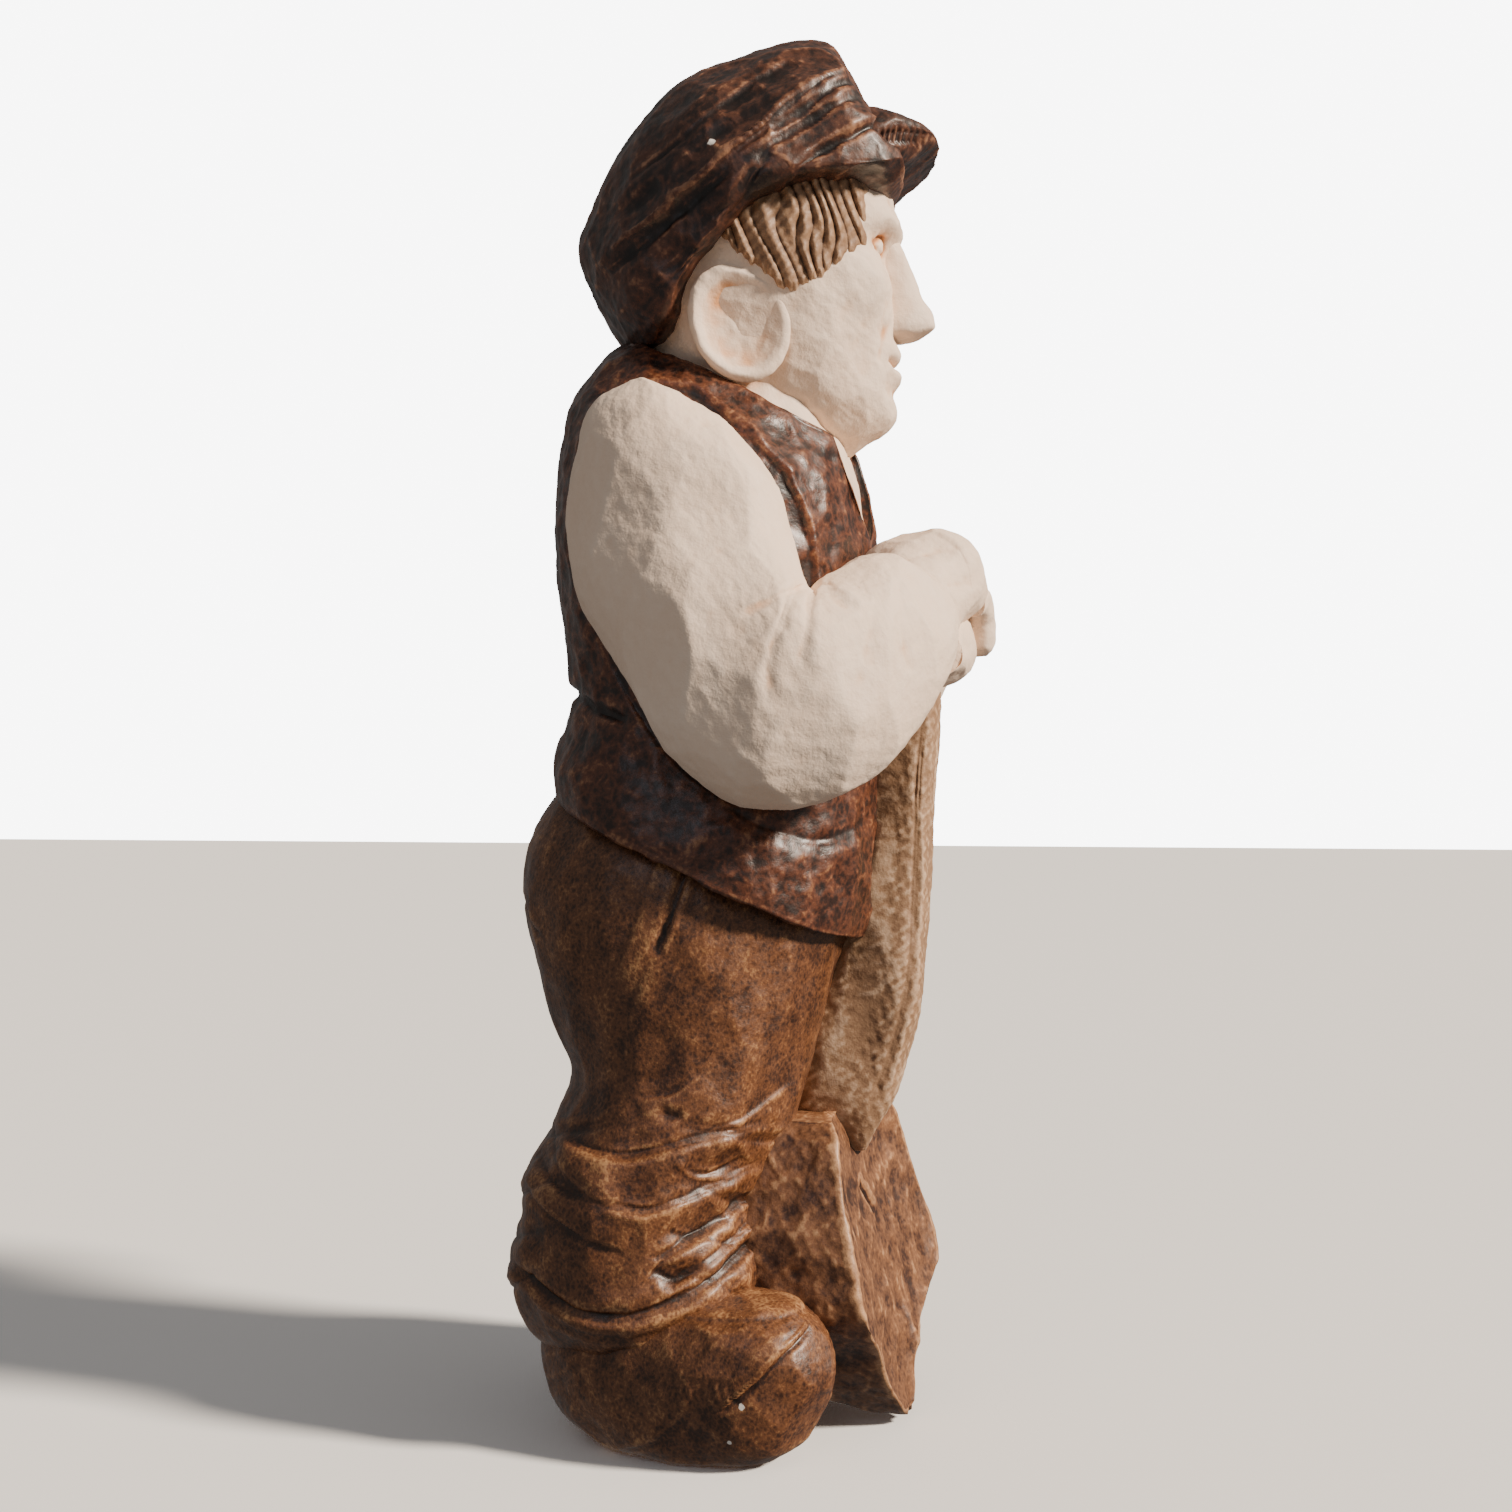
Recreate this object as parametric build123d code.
"""Carved figurine of a working man in a flat cap, leaning on his shovel.

Millimetres, +Z up. The figure faces -Y and his left side is +X. The origin is on the ground,
under the middle of the figure. Every piece is a separately carved block with flat chisel facets.
The blocks meet on flat or scribed glue faces and hidden dowels hold them together.

A block is a stack of cuts. Each cut is a closed ring of points, given by two opposite points and
by its half width across. Points are written (forward, side, height): forward is the way he faces
and is counted from the ankles, side grows to his left.
"""
import os
from dataclasses import dataclass
from math import cos, pi, radians, sin, tan

from build123d import *

# ---- overall heights, each one the length of a single block ----
TROUSER_HEIGHT = 118.5      # ground to the waistcoat's hem, at the middle of the body
VEST_HEIGHT = 102.5         # hem to neckline, at the middle of the body
HEAD_HEIGHT = 79.0          # lowest point of the chin to the top of the skull
CAP_HEIGHT = 70.5           # nape edge to the highest point of the crown
SHOE_HEIGHT = 33.0
BLADE_HEIGHT = 66.0
HANDLE_BURY = 9.0           # how far the handle's point runs down over the blade
GRIP_HEIGHT = 176.0         # middle of the two hands

# ---- overall widths and depths ----
TROUSER_WIDTH = 96.0
TROUSER_DEPTH = 72.0
VEST_WIDTH = 84.0
VEST_DEPTH = 72.0
HEAD_WIDTH = 60.0
HEAD_DEPTH = 62.0
CAP_WIDTH = 75.0
CAP_DEPTH = 78.0
PEAK_REACH = 18.0           # crown to the edge of the peak
PEAK_WIDTH = 56.0
SHOE_LENGTH = 65.0
SHOE_WIDTH = 34.0
BLADE_WIDTH = 66.0
BLADE_DISH = 3.5            # depth of the hollow in the blade's face
HANDLE_THICKNESS = 16.0
SLEEVE_WIDTH = 31.0         # across the arm, seen from the front
HAND_DEPTH = 28.0

# ---- places ----
ORIGIN_FORWARD = 3.1        # forward place of the origin, half way from his seat to his hands
BODY_CENTRE = -9.0          # forward place of the middle of trousers and waistcoat
HEAD_CENTRE = 2.0
SHOULDER_FORWARD = -8.0
SHOULDER_DROP = 6.0         # top of the sleeve below the neckline's middle
SHOULDER_SIDE = 41.0        # side place of the upper arm's middle
ELBOW_SIDE = 48.0
CUFF_SIDE = 19.0
GRIP_FORWARD = 38.5         # forward place of the two hands and the top of the handle
FOOT_SPREAD = 31.0          # side place of each shoe's middle
FOOT_FORWARD = -9.5
FOOT_TURN = 18.0            # degrees that the toes point outwards
HEAD_TURN = 9.0             # degrees that the head is turned to his left
HEAD_AXIS = 4.0             # the neck's middle, behind the middle of the head
BLADE_TURN = 6.0            # degrees that the blade's face is turned to his right

# ---- slanted glue faces: rise in height for each millimetre forward ----
HEM_SLOPE = -0.47
NECK_SLOPE = -0.49
SHOULDER_SLOPE = 0.60       # fall of the shoulders, away from the neck
CUFF_SLOPE = 0.20           # of the trouser bottoms
TROUSER_BOTTOM = 25.0       # height of the trouser bottoms, at the middle of the body

# ---- small parts and fits ----
HAIR_THICKNESS = 1.7
NECK_WIDTH = 42.0
NECK_DEPTH = 44.0
NECK_STAND = 2.5            # neck showing between the neckline and the head
NECK_BURY = 16.0            # neck stub inside the waistcoat
V_SHOULDER = 8.0            # where the V starts to narrow, below the neckline
V_DROP = 32.0               # lowest point of the V, below the neckline
NOSE_WIDTH = 12.0
NOSE_REACH = 8.0
EAR_PLACE = 22.5            # middle of the ear above the chin
EAR_HEIGHT = 21.0
EAR_STAND = 2.5
DOWEL_CLEARANCE = 0.05      # all round a dowel
WAIST_DOWEL = (12.0, 40.0)  # diameter, length
NECK_DOWEL = (9.0, 34.0)
CAP_DOWEL = (7.0, 20.0)
SHOULDER_DOWEL = (8.0, 22.0)
WRIST_DOWEL = (5.0, 14.0)
SHOE_DOWEL = (7.0, 20.0)
GRIP_DOWEL = (6.0, 34.0)
BLADE_DOWEL = (5.0, 16.0)

RING_POINTS = 20            # facets round a block
BIG = 400.0                 # larger than the whole figure
PAIRED = ("shoulder_dowels", "wrist_dowels", "shoe_dowels")

HEM_BASE = TROUSER_HEIGHT
NECK_BASE = HEM_BASE + VEST_HEIGHT
CHIN_HEIGHT = NECK_BASE - 9.0
CAP_BASE = NECK_BASE + 7.8


@dataclass
class Cut:
    """One ring round a block, between the opposite points low and high."""

    low: tuple
    high: tuple
    half_width: float
    belly: float = 0.5      # where the ring is widest, as a share of the way from low to high
    square: float = 2.3     # 2 is an oval, more is squarer, on the high side
    foot: float = 2.3       # the same on the low side
    groove: float = 0.0     # pinch at the middle, as a share of the reach


def place(forward, side, height):
    """Point of the model from forward, side and height."""
    return Vector(side, ORIGIN_FORWARD - forward, height)


def bent(share, power):
    """Cosine or sine share pushed out towards a squarer corner."""
    sign = 1.0 if share >= 0 else -1.0
    return sign * abs(share) ** (2.0 / power)


def ring(cut, travel):
    """Points of one cut, in the plane of low-high and of the direction across travel."""
    low = place(*cut.low)
    high = place(*cut.high)
    middle = low + (high - low) * cut.belly
    across = (high - low).cross(travel).normalized()
    points = []
    for number in range(RING_POINTS):
        angle = 2.0 * pi * number / RING_POINTS
        power = cut.square if sin(angle) >= 0 else cut.foot
        side = bent(cos(angle), power)
        reach = bent(sin(angle), power)
        reach *= 1.0 - cut.groove * max(0.0, 1.0 - abs(side) * 3.0)
        span = (high - middle) if reach >= 0 else (middle - low)
        points.append(middle + across * (side * cut.half_width) + span * reach)
    return points


def faceted(rings):
    """Closed solid with flat triangular facets through a stack of rings."""
    faces = [Face(Wire.make_polygon(rings[0])), Face(Wire.make_polygon(rings[-1]))]
    count = len(rings[0])
    for lower, upper in zip(rings, rings[1:]):
        for number in range(count):
            after = (number + 1) % count
            faces.append(Face(Wire.make_polygon([lower[number], lower[after], upper[after]])))
            faces.append(Face(Wire.make_polygon([lower[number], upper[after], upper[number]])))
    return Solid(Shell(faces))


def carve(cuts):
    """Block through a list of cuts. Each ring stands across the way from cut to cut."""
    centres = [(place(*cut.low) + place(*cut.high)) * 0.5 for cut in cuts]
    rings = []
    for number, cut in enumerate(cuts):
        before = centres[max(number - 1, 0)]
        after = centres[min(number + 1, len(cuts) - 1)]
        rings.append(ring(cut, after - before))
    return faceted(rings)


def upright(base, height, centre, depth, width, rows, **shape):
    """Cuts of an upright block from rows of (height, back, front, half width, groove) shares."""
    cuts = []
    for level, back, front, half, groove in rows:
        z = base + level * height
        low = (centre + back * depth, 0.0, z)
        high = (centre + front * depth, 0.0, z)
        cuts.append(Cut(low, high, half * width, groove=groove, **shape))
    return cuts


def largest(shape):
    """The block itself, without the offcuts that fall away when it is trimmed."""
    return max(shape.solids(), key=lambda solid: solid.volume)


def slanted(base, slope, side=0.0, side_slope=0.0):
    """Plane at the height base over the body's middle, rising by slope going forward.

    It rises by side_slope going to his left, counted from the side place given.
    """
    origin = place(BODY_CENTRE, side, base)
    return Plane(origin=origin, x_dir=(1.0, 0.0, side_slope), z_dir=(-side_slope, slope, 1.0))


def above(plane):
    """Everything on the upper side of a plane."""
    return plane.location * Box(BIG, BIG, BIG, align=(Align.CENTER, Align.CENTER, Align.MIN))


def mirrored(shape):
    """The same piece for the other side of the body."""
    return shape.mirror(Plane.YZ)


def turned(shape):
    """A piece of the head, turned with it about the neck."""
    neck = Axis(place(HEAD_CENTRE - HEAD_AXIS, 0.0, 0.0), (0, 0, 1))
    return shape.rotate(neck, HEAD_TURN)


# ---- the body ----

HEM = slanted(HEM_BASE, HEM_SLOPE)
NECKLINE = slanted(NECK_BASE, NECK_SLOPE)
SHOULDER = slanted(NECK_BASE, NECK_SLOPE, -NECK_WIDTH / 2 - 1.0, SHOULDER_SLOPE)
BOTTOMS = slanted(TROUSER_BOTTOM, CUFF_SLOPE)


def trousers_block():
    """Baggy trousers in one block, with a groove between the legs and puddled bottoms."""
    rows = [
        (0.00, -0.45, 0.17, 0.45, 0.45),
        (0.10, -0.55, 0.22, 0.49, 0.45),
        (0.22, -0.58, 0.235, 0.50, 0.40),
        (0.35, -0.55, 0.215, 0.485, 0.35),
        (0.44, -0.52, 0.235, 0.45, 0.28),
        (0.53, -0.445, 0.28, 0.43, 0.22),
        (0.62, -0.41, 0.335, 0.42, 0.16),
        (0.72, -0.475, 0.375, 0.425, 0.10),
        (0.84, -0.54, 0.41, 0.435, 0.04),
        (0.96, -0.565, 0.435, 0.425, 0.0),
        (1.08, -0.52, 0.42, 0.405, 0.0),
        (1.20, -0.46, 0.39, 0.37, 0.0),
    ]
    block = carve(upright(0.0, TROUSER_HEIGHT, BODY_CENTRE, TROUSER_DEPTH, TROUSER_WIDTH, rows))
    block = block - above(HEM)
    return largest(block & above(BOTTOMS))


def vest_block():
    """Waistcoat block, from the slanted hem to the slanted neckline."""
    rows = [
        (-0.20, -0.49, 0.455, 0.50, 0.0),
        (0.00, -0.50, 0.50, 0.505, 0.0),
        (0.20, -0.49, 0.52, 0.48, 0.0),
        (0.365, -0.435, 0.49, 0.455, 0.0),
        (0.58, -0.475, 0.485, 0.455, 0.0),
        (0.75, -0.485, 0.475, 0.46, 0.0),
        (0.88, -0.47, 0.445, 0.445, 0.0),
        (0.98, -0.435, 0.42, 0.40, 0.0),
        (1.08, -0.32, 0.30, 0.29, 0.0),
        (1.12, -0.235, 0.22, 0.20, 0.0),
    ]
    block = carve(upright(HEM_BASE, VEST_HEIGHT, BODY_CENTRE, VEST_DEPTH, VEST_WIDTH, rows))
    block = (block & above(HEM)) - above(NECKLINE)
    return largest(block - above(SHOULDER) - mirrored(above(SHOULDER)))


def shirt_block(vest):
    """Neck stub and the shirt front that fills the waistcoat's V, trimmed to the chest."""
    half = NECK_WIDTH / 2
    outline = [(-half, 0.0), (-half, -V_SHOULDER), (0.0, -V_DROP), (half, -V_SHOULDER), (half, 0.0)]
    points = [place(HEAD_CENTRE, side, NECK_BASE + height) for side, height in outline]
    wedge = extrude(Face(Wire.make_polygon(points)), amount=VEST_DEPTH, dir=(0, -1, 0))
    neck_rows = [(0.0, -0.5, 0.5, 0.5, 0.0), (1.0, -0.5, 0.5, 0.5, 0.0)]
    stub = carve(upright(NECK_BASE - NECK_BURY, NECK_BURY + NECK_STAND, HEAD_CENTRE - HEAD_AXIS,
                         NECK_DEPTH, NECK_WIDTH, neck_rows))
    return largest((wedge & vest) + (stub - above(NECK_TOP)))


# ---- the head ----

NECK_TOP = slanted(NECK_BASE + NECK_STAND, NECK_SLOPE)


def head_rows():
    """Rows of the skull and jaw, in shares of the head's own sizes."""
    return [
        (0.00, -0.10, 0.38, 0.20, 0.0),
        (0.06, -0.30, 0.43, 0.31, 0.0),
        (0.14, -0.42, 0.45, 0.39, 0.0),
        (0.24, -0.47, 0.45, 0.43, 0.0),
        (0.36, -0.50, 0.45, 0.465, 0.0),
        (0.47, -0.50, 0.42, 0.485, 0.0),
        (0.53, -0.49, 0.46, 0.485, 0.0),
        (0.65, -0.47, 0.44, 0.48, 0.0),
        (0.80, -0.42, 0.36, 0.43, 0.0),
        (0.92, -0.30, 0.24, 0.32, 0.0),
        (1.00, -0.10, 0.08, 0.12, 0.0),
    ]


def skull(grow=0.0):
    """Skull and jaw block. grow thickens it all round."""
    return carve(upright(CHIN_HEIGHT, HEAD_HEIGHT, HEAD_CENTRE, HEAD_DEPTH + 2 * grow,
                         HEAD_WIDTH + 2 * grow, head_rows()))


def nose_block():
    """Plain wedge nose from the brow to a third of the way to the chin."""
    face = HEAD_CENTRE + 0.45 * HEAD_DEPTH
    root = face - NOSE_REACH
    brow = CHIN_HEIGHT + 0.50 * HEAD_HEIGHT
    tip = CHIN_HEIGHT + 0.30 * HEAD_HEIGHT
    rows = [
        (tip - 0.03 * HEAD_HEIGHT, 0.2, 0.42),
        (tip, 1.0, 0.50),
        (tip + 0.05 * HEAD_HEIGHT, 0.85, 0.38),
        (brow, 0.12, 0.28),
    ]
    return carve([Cut((root, 0.0, z), (face + reach * NOSE_REACH, 0.0, z), half * NOSE_WIDTH)
                  for z, reach, half in rows])


def ear_block():
    """Right ear, a plain oval shell on the side of the head."""
    height = CHIN_HEIGHT + EAR_PLACE
    inner = -HEAD_WIDTH * 0.40
    outer = -(HEAD_WIDTH / 2 + EAR_STAND)
    rows = [
        (-2.0, inner, 0.40, 0.24),
        (-2.5, (inner + outer) / 2, 0.50, 0.33),
        (-3.5, outer, 0.44, 0.26),
    ]
    cuts = []
    for back, side, reach, half in rows:
        low = (HEAD_CENTRE + back, side, height - reach * EAR_HEIGHT)
        high = (HEAD_CENTRE + back, side, height + reach * EAR_HEIGHT)
        cuts.append(Cut(low, high, half * EAR_HEIGHT))
    return carve(cuts)


def cap_point(forward, height):
    """Point on the middle plane of the cap, in shares of the crown's own sizes."""
    return (HEAD_CENTRE + forward * CAP_DEPTH, 0.0, CAP_BASE + height * CAP_HEIGHT)


def cap_crown_block():
    """Crown and band of the flat cap, a fan of cuts from the nape to above the forehead."""
    rows = [
        (-0.475, 0.057, -0.551, 0.142, 0.20),
        (-0.370, 0.030, -0.620, 0.298, 0.36),
        (-0.246, 0.128, -0.578, 0.454, 0.43),
        (-0.123, 0.277, -0.465, 0.661, 0.48),
        (-0.020, 0.369, -0.246, 0.865, 0.50),
        (0.062, 0.397, -0.050, 0.936, 0.50),
        (0.200, 0.411, 0.160, 1.000, 0.48),
        (0.338, 0.433, 0.277, 0.922, 0.44),
        (0.415, 0.475, 0.323, 0.766, 0.38),
    ]
    return carve([
        Cut(cap_point(low_f, low_h), cap_point(high_f, high_h), half * CAP_WIDTH,
            belly=0.25, square=2.2, foot=5.0)
        for low_f, low_h, high_f, high_h, half in rows
    ])


def cap_peak_block():
    """Peak of the cap, a thick rounded visor that slopes down a little."""
    rows = [
        (-0.15, 0.47, -0.20, 0.76, 0.48),
        (0.25, 0.485, 0.25, 0.745, 0.50),
        (0.62, 0.52, 0.62, 0.69, 0.42),
        (0.88, 0.555, 0.88, 0.635, 0.28),
        (1.00, 0.585, 1.00, 0.61, 0.15),
    ]
    root = 0.36 * CAP_DEPTH
    cuts = []
    for low_f, low_h, high_f, high_h, half in rows:
        low = (HEAD_CENTRE + root + low_f * PEAK_REACH, 0.0, CAP_BASE + low_h * CAP_HEIGHT)
        high = (HEAD_CENTRE + root + high_f * PEAK_REACH, 0.0, CAP_BASE + high_h * CAP_HEIGHT)
        cuts.append(Cut(low, high, half * PEAK_WIDTH, square=2.6, foot=3.0))
    return carve(cuts)


def hair_block():
    """Right tuft of hair, a thin slab on the temple between the cap's edge and the ear."""
    outline = [
        (-1.5, 62.0), (-2.0, 37.0), (3.0, 30.5), (10.0, 26.0),
        (19.0, 30.0), (26.5, 36.0), (25.5, 62.0),
    ]
    points = [place(forward, 0.0, CHIN_HEIGHT + height) for forward, height in outline]
    prism = extrude(Face(Wire.make_polygon(points)), amount=HEAD_WIDTH, dir=(-1, 0, 0))
    return prism & skull(HAIR_THICKNESS)


# ---- the arms ----


def arm_point(reach, forward, height, side):
    """Point placed between the shoulder (reach 0) and the grip (reach 1)."""
    f = SHOULDER_FORWARD * (1 - reach) + GRIP_FORWARD * reach + forward
    z = (NECK_BASE - SHOULDER_DROP) * (1 - reach) + GRIP_HEIGHT * reach + height
    return (f, -side, z)


def sleeve_block():
    """Right sleeve and forearm, puffed above and sharply bent at the elbow."""
    upper = (SHOULDER_SIDE + ELBOW_SIDE) / 2
    lower = (ELBOW_SIDE + CUFF_SIDE) / 2
    rows = [
        (0.00, -12.0, -0.5, -4.0, 1.0, SHOULDER_SIDE - 3.0, 0.30),
        (0.00, -19.5, -5.0, 6.0, -3.5, SHOULDER_SIDE - 2.0, 0.40),
        (0.00, -23.0, -16.0, 17.5, -16.0, SHOULDER_SIDE, 0.48),
        (0.10, -28.0, -25.0, 17.0, -25.0, SHOULDER_SIDE, 0.50),
        (0.20, -28.0, -34.5, 15.5, -29.0, upper, 0.50),
        (0.35, -25.5, -44.5, 9.5, -24.5, ELBOW_SIDE, 0.50),
        (0.45, -18.5, -59.5, 6.5, -24.0, ELBOW_SIDE, 0.50),
        (0.55, -8.5, -62.0, 4.0, -20.5, ELBOW_SIDE - 1.0, 0.49),
        (0.70, -1.0, -52.5, 0.0, -11.0, lower + 5.0, 0.47),
        (0.85, 4.0, -38.0, -3.5, 0.0, lower - 5.0, 0.42),
        (1.00, 4.0, -23.5, -5.5, 6.5, CUFF_SIDE, 0.36),
    ]
    return carve([
        Cut(arm_point(reach, back_f, back_z, side), arm_point(reach, front_f, front_z, side),
            half * SLEEVE_WIDTH)
        for reach, back_f, back_z, front_f, front_z, side, half in rows
    ])


def hand_block(rows):
    """Hand from rows of (side, low forward, low height, high forward, high height, half width)."""
    cuts = []
    for side, low_f, low_z, high_f, high_z, half in rows:
        low = (GRIP_FORWARD + low_f, side, GRIP_HEIGHT + low_z)
        high = (GRIP_FORWARD + high_f, side, GRIP_HEIGHT + high_z)
        cuts.append(Cut(low, high, half * HAND_DEPTH))
    return carve(cuts)


def right_hand_block():
    """Upper hand, humped over the top of the handle."""
    return hand_block([
        (-CUFF_SIDE - 1.5, 2.5, -20.0, -4.5, 5.0, 0.34),
        (-CUFF_SIDE + 7.0, 5.5, -18.0, -4.5, 13.0, 0.46),
        (-3.0, 7.5, -16.0, -3.5, 16.5, 0.52),
        (6.0, 7.5, -12.0, -2.5, 14.0, 0.50),
        (12.0, 6.5, -8.0, -0.5, 8.0, 0.40),
        (16.0, 4.5, -5.0, 1.5, 3.0, 0.24),
    ])


def left_hand_block():
    """Lower hand, whose fingers come round under the upper one."""
    return hand_block([
        (CUFF_SIDE + 1.5, 2.5, -20.0, -4.5, 5.0, 0.34),
        (CUFF_SIDE - 7.0, 6.5, -21.0, -2.5, 4.0, 0.44),
        (3.0, 7.5, -21.0, -0.5, 0.0, 0.50),
        (-6.0, 7.5, -20.0, 1.5, -4.0, 0.44),
        (-12.0, 6.0, -18.0, 2.5, -8.0, 0.28),
    ])


# ---- the feet and the shovel ----


def shoe_block():
    """Right shoe, bulbous and turned out, with a flat sole."""
    rows = [
        (0.00, -0.42, 0.42, 0.40, 0.0),
        (0.20, -0.48, 0.48, 0.48, 0.0),
        (0.55, -0.50, 0.50, 0.50, 0.0),
        (0.82, -0.42, 0.49, 0.46, 0.0),
        (1.00, -0.20, 0.42, 0.34, 0.0),
    ]
    cuts = upright(0.0, SHOE_HEIGHT, 0.0, SHOE_LENGTH, SHOE_WIDTH, rows, square=2.4, foot=2.6)
    shoe = carve(cuts).rotate(Axis.Z, -FOOT_TURN)
    return Pos(place(FOOT_FORWARD, -FOOT_SPREAD, 0.0)) * shoe


def handle_block():
    """Plank of the shovel's handle, which runs back against the body wherever the grip is."""
    top = GRIP_HEIGHT
    foot = BLADE_HEIGHT - HANDLE_BURY
    belly = BODY_CENTRE + TROUSER_DEPTH / 2
    # level, back edge counted from the belly, front edge counted from the grip, half thickness
    rows = [
        (0.00, -7.0, -14.5, 0.18),
        (0.05, -13.5, -11.0, 0.36),
        (0.10, -18.5, -9.0, 0.46),
        (0.18, -17.5, -5.5, 0.50),
        (0.29, -14.5, -1.7, 0.50),
        (0.45, -7.5, -1.1, 0.50),
        (0.68, -3.0, -0.2, 0.50),
        (0.84, 0.5, 1.3, 0.50),
        (1.00, 3.5, 2.5, 0.46),
    ]
    cuts = []
    for level, back, front, half in rows:
        z = foot + level * (top - foot)
        low = (belly + back, 0.0, z)
        high = (GRIP_FORWARD + front, 0.0, z)
        cuts.append(Cut(low, high, half * HANDLE_THICKNESS, square=4.0, foot=4.0))
    return carve(cuts)


def blade_ring(level, edge, half, back):
    """Pointed-blade section: hollow front between two edges, thick back towards the legs."""
    turn = tan(radians(BLADE_TURN))
    half_width = half * BLADE_WIDTH
    corners = [
        (edge, 1.0),
        (edge - BLADE_DISH * 0.8, 0.45),
        (edge - BLADE_DISH, 0.0),
        (edge - BLADE_DISH * 0.8, -0.45),
        (edge, -1.0),
        (edge - (edge - back) * 0.5, -0.97),
        (back, -0.85),
        (back, 0.85),
        (edge - (edge - back) * 0.5, 0.97),
    ]
    return [place(forward + turn * side * half_width, side * half_width, level * BLADE_HEIGHT)
            for forward, side in corners]


def blade_block():
    """Pointed shovel blade with the wedge of wood left behind it."""
    return faceted([
        blade_ring(0.00, 35.5, 0.08, 31.5),
        blade_ring(0.06, 35.8, 0.17, 26.0),
        blade_ring(0.20, 35.5, 0.33, 10.0),
        blade_ring(0.41, 34.8, 0.50, -5.0),
        blade_ring(0.64, 29.1, 0.46, -6.0),
        blade_ring(0.78, 25.8, 0.41, -5.0),
        blade_ring(0.96, 23.9, 0.34, -2.0),
        blade_ring(1.00, 21.5, 0.30, 2.0),
    ])


# ---- dowels ----


def dowel(size, point, direction, grow=0.0):
    """Dowel of (diameter, length) with its middle at a point. grow is added all round."""
    diameter, length = size
    plane = Plane(origin=place(*point), z_dir=(direction[1], -direction[0], direction[2]))
    return plane.location * Cylinder(diameter / 2 + grow, length)


def bored(piece, size, point, direction):
    """Piece with the hole for one dowel."""
    return largest(piece - dowel(size, point, direction, DOWEL_CLEARANCE))


# ---- putting the pieces together ----


def trimmed(piece, *cutters):
    """Piece scribed to fit against its neighbours."""
    for cutter in cutters:
        piece = piece - cutter
    return largest(piece)


def dowel_places():
    """Size, middle point and direction of each dowel, by node name."""
    down = (0.0, 0.0, 1.0)
    across = (0.0, 1.0, 0.0)
    forward = (1.0, 0.0, 0.0)
    shoulder_side = -(SHOULDER_SIDE - SLEEVE_WIDTH / 2)
    shoulder_height = NECK_BASE - SHOULDER_DROP - 22.0
    elbow = arm_point(0.70, -2.0, -31.0, (ELBOW_SIDE + CUFF_SIDE) / 2 + 5.0)
    cuff = arm_point(1.00, -0.8, -8.5, CUFF_SIDE)
    forearm = tuple(end - start for start, end in zip(elbow, cuff))
    leg_front = BODY_CENTRE + 0.23 * TROUSER_DEPTH
    return {
        "waist_dowel": (WAIST_DOWEL, (BODY_CENTRE, 0.0, HEM_BASE), down),
        "neck_dowel": (NECK_DOWEL, (HEAD_CENTRE - HEAD_AXIS, 0.0, NECK_BASE), down),
        "cap_dowel": (CAP_DOWEL, (HEAD_CENTRE, 0.0, CAP_BASE + 0.375 * CAP_HEIGHT), down),
        "shoulder_dowels": (SHOULDER_DOWEL, (SHOULDER_FORWARD, shoulder_side, shoulder_height), across),
        "wrist_dowels": (WRIST_DOWEL, cuff, forearm),
        "shoe_dowels": (SHOE_DOWEL, (FOOT_FORWARD - 4.0, -(FOOT_SPREAD - 2.0), SHOE_HEIGHT), down),
        "grip_dowel": (GRIP_DOWEL, (GRIP_FORWARD - 5.0, 0.0, GRIP_HEIGHT - 13.0), down),
        "handle_dowel": (BLADE_DOWEL, (GRIP_FORWARD - 22.0, 0.0, BLADE_HEIGHT - 8.0), down),
        "blade_dowel": (BLADE_DOWEL, (leg_front, 0.0, BLADE_HEIGHT * 0.55), forward),
    }


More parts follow.
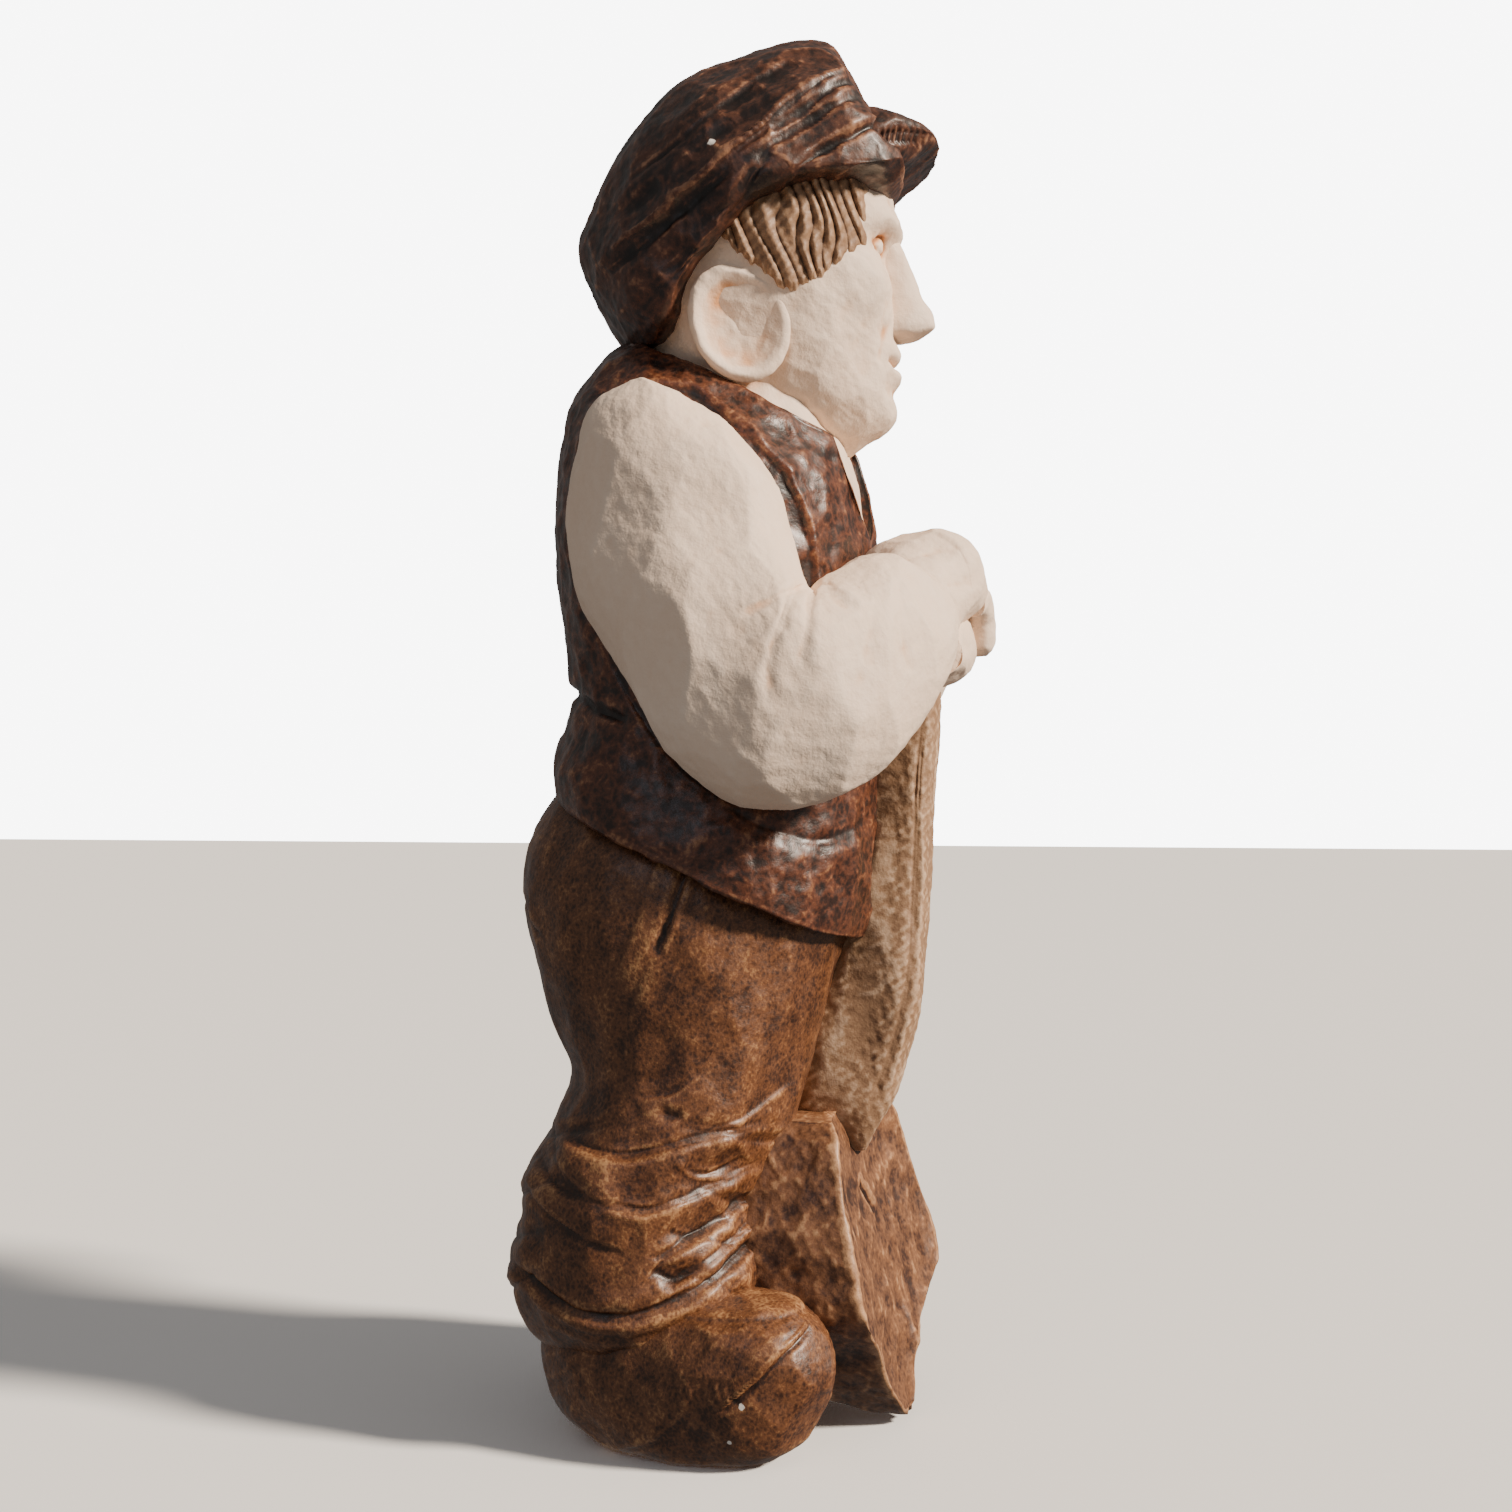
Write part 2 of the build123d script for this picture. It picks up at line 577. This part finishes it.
def build():
    """All the pieces, by node name."""
    right_shoe = shoe_block()
    left_shoe = mirrored(right_shoe)
    trousers = trimmed(trousers_block(), right_shoe, left_shoe)

    whole_vest = vest_block()
    right_sleeve = sleeve_block()
    left_sleeve = mirrored(right_sleeve)
    shirt_front = shirt_block(whole_vest)
    vest = trimmed(whole_vest, right_sleeve, left_sleeve, shirt_front)

    cap_crown = turned(cap_crown_block())
    cap_peak = trimmed(turned(cap_peak_block()), cap_crown)
    ear = ear_block()
    head = turned(skull() + nose_block() + ear + mirrored(ear))
    head = trimmed(head & above(NECK_TOP), shirt_front, cap_crown, cap_peak)
    hair = hair_block()
    hair_right = trimmed(turned(hair), head, cap_crown, cap_peak)
    hair_left = trimmed(turned(mirrored(hair)), head, cap_crown, cap_peak)

    right_hand = trimmed(right_hand_block(), right_sleeve, left_sleeve, vest)
    left_hand = trimmed(left_hand_block(), right_sleeve, left_sleeve, right_hand, vest)
    arms = [right_sleeve, left_sleeve, right_hand, left_hand]
    shovel_handle = trimmed(handle_block(), vest, trousers, *arms)
    shovel_blade = trimmed(blade_block(), trousers, right_shoe, left_shoe, shovel_handle)

    pieces = {
        "cap_crown": cap_crown,
        "cap_peak": cap_peak,
        "head": head,
        "hair_right": hair_right,
        "hair_left": hair_left,
        "shirt_front": shirt_front,
        "vest": vest,
        "right_sleeve": right_sleeve,
        "left_sleeve": left_sleeve,
        "right_hand": right_hand,
        "left_hand": left_hand,
        "trousers": trousers,
        "right_shoe": right_shoe,
        "left_shoe": left_shoe,
        "shovel_handle": shovel_handle,
        "shovel_blade": shovel_blade,
    }
    bored_by = {
        "waist_dowel": ["trousers", "vest"],
        "neck_dowel": ["vest", "shirt_front", "head"],
        "cap_dowel": ["head", "cap_crown"],
        "shoulder_dowels": ["vest", "right_sleeve", "left_sleeve"],
        "wrist_dowels": ["right_sleeve", "right_hand", "left_sleeve", "left_hand"],
        "shoe_dowels": ["trousers", "right_shoe", "left_shoe"],
        "grip_dowel": ["shovel_handle", "left_hand", "right_hand"],
        "handle_dowel": ["shovel_handle", "shovel_blade"],
        "blade_dowel": ["trousers", "shovel_blade"],
    }
    for name, (size, point, direction) in dowel_places().items():
        sides = [1.0, -1.0] if name in PAIRED else [1.0]
        places = [((point[0], point[1] * side, point[2]),
                   (direction[0], direction[1] * side, direction[2])) for side in sides]
        for piece in bored_by[name]:
            for middle, way in places:
                pieces[piece] = bored(pieces[piece], size, middle, way)
        pegs = [dowel(size, middle, way) for middle, way in places]
        pieces[name] = Compound(pegs) if len(pegs) > 1 else pegs[0]
    return pieces


def main():
    """Write one STEP file for each piece."""
    os.makedirs("parts", exist_ok=True)
    for name, piece in build().items():
        export_step(piece, f"parts/{name}.step")


main()
